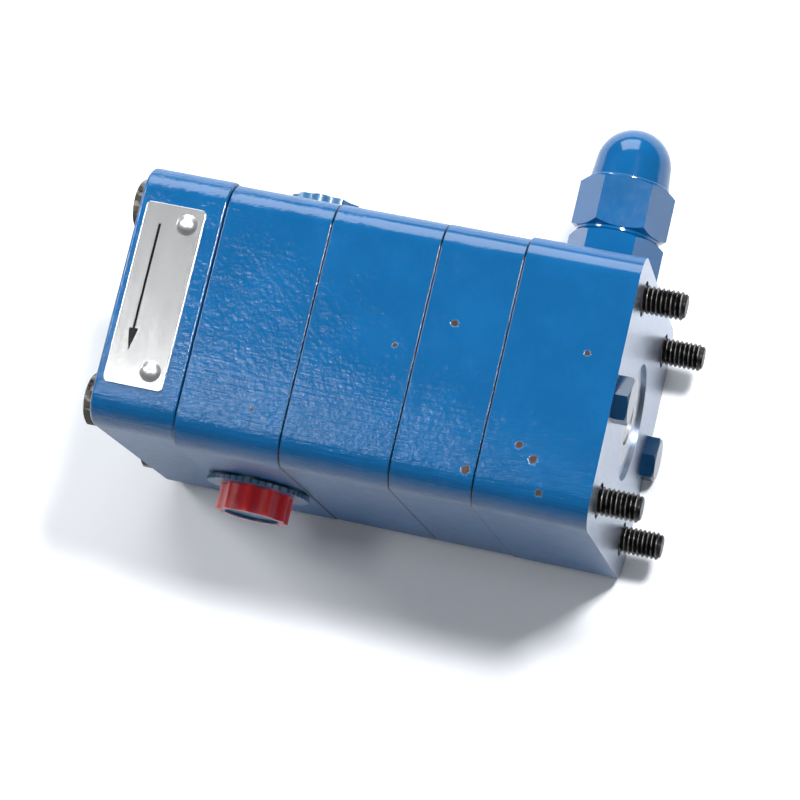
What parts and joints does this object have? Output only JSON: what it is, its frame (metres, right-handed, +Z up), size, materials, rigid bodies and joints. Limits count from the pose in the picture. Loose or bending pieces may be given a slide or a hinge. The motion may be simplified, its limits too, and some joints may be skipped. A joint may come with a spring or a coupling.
{
  "type": "gear pump",
  "caption": "Stacked-plate hydraulic gear pump with through bolts, plugged side ports and a domed relief valve, lying on its broad side.",
  "frame": {"origin": "centre of the flat side that the pump lies on", "axes": "+X along the stack towards the machined mounting end, +Y towards the relief valve, +Z up from the resting side"},
  "size_m": [0.1884, 0.1575, 0.1197],
  "materials": {
    "blue_enamel": "gloss blue enamel over rough casting",
    "blue_enamel_steel": "gloss blue enamel over machined steel",
    "black_steel": "black oxide",
    "bare_steel": "ground steel",
    "red_plastic": "moulded red plastic, partly oversprayed blue",
    "blue_plastic": "moulded plastic, painted over with the body",
    "plate_aluminium": "brushed sheet"
  },
  "bodies": {
    "root": {"end_cover": "blue_enamel", "port_housing": "blue_enamel", "front_gear_housing": "blue_enamel", "rear_gear_housing": "blue_enamel", "valve_head": "blue_enamel", "through_bolt_1": "black_steel", "through_bolt_2": "black_steel", "through_bolt_3": "black_steel", "through_bolt_4": "black_steel", "face_screw_upper": "blue_enamel_steel", "face_screw_lower": "blue_enamel_steel", "drive_shaft": "bare_steel", "shaft_seal": "bare_steel", "near_plug": "red_plastic", "far_plug": "blue_plastic", "valve_adapter": "blue_enamel_steel", "valve_ring": "blue_enamel_steel", "valve_cap": "blue_enamel_steel", "name_plate": "plate_aluminium", "name_plate_rivet_1": "plate_aluminium", "name_plate_rivet_2": "plate_aluminium"}
  },
  "joints": []
}
